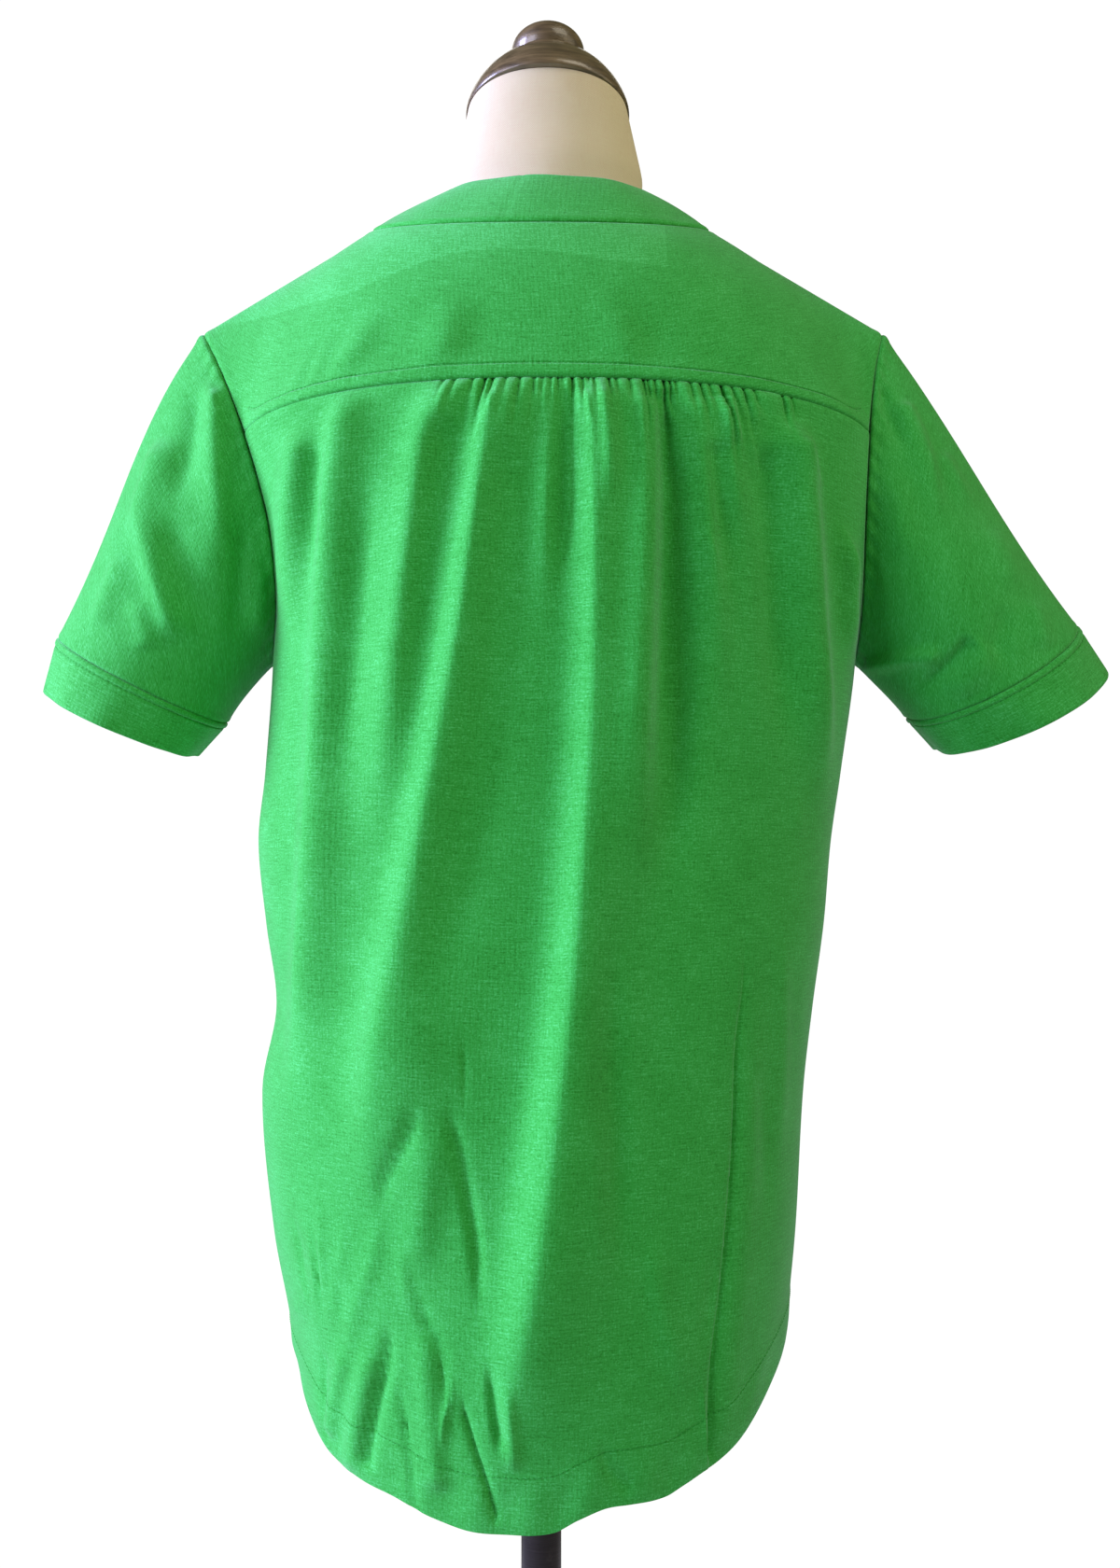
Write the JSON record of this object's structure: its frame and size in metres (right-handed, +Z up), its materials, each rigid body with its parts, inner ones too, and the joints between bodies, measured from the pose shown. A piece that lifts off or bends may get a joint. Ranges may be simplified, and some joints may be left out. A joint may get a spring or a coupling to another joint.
{
  "type": "button-front t-shirt on a limbless dress form",
  "caption": "Short-sleeved jersey top, buttoned down the front, with a gathered back under a shoulder yoke, on a limbless dress form with a round foot.",
  "frame": {"origin": "middle of the foot's underside, on the pole's axis, at floor level", "axes": "+Z up the pole, -Y toward the front of the top (its buttons), +X toward the wearer's left"},
  "size_m": [0.6585, 0.34, 1.5448],
  "materials": {
    "jersey": "slubby cotton jersey, matt",
    "button": "dyed resin, satin",
    "linen": "ecru cotton stretched over the form",
    "varnished_wood": "dark stain under gloss varnish",
    "dark_metal": "black satin enamel"
  },
  "bodies": {
    "root": {"yoke": "jersey", "back_panel": "jersey", "front_left": "jersey", "front_right": "jersey", "placket_under": "jersey", "placket_over": "jersey", "neckband": "jersey", "sleeve_left": "jersey", "sleeve_right": "jersey", "cuff_left": "jersey", "cuff_right": "jersey", "button_1": "button", "button_2": "button", "button_3": "button", "button_4": "button", "button_5": "button", "button_6": "button", "button_7": "button", "form_torso": "linen", "neck_cap": "varnished_wood", "finial": "varnished_wood", "pole": "dark_metal", "base": "dark_metal"}
  },
  "joints": []
}
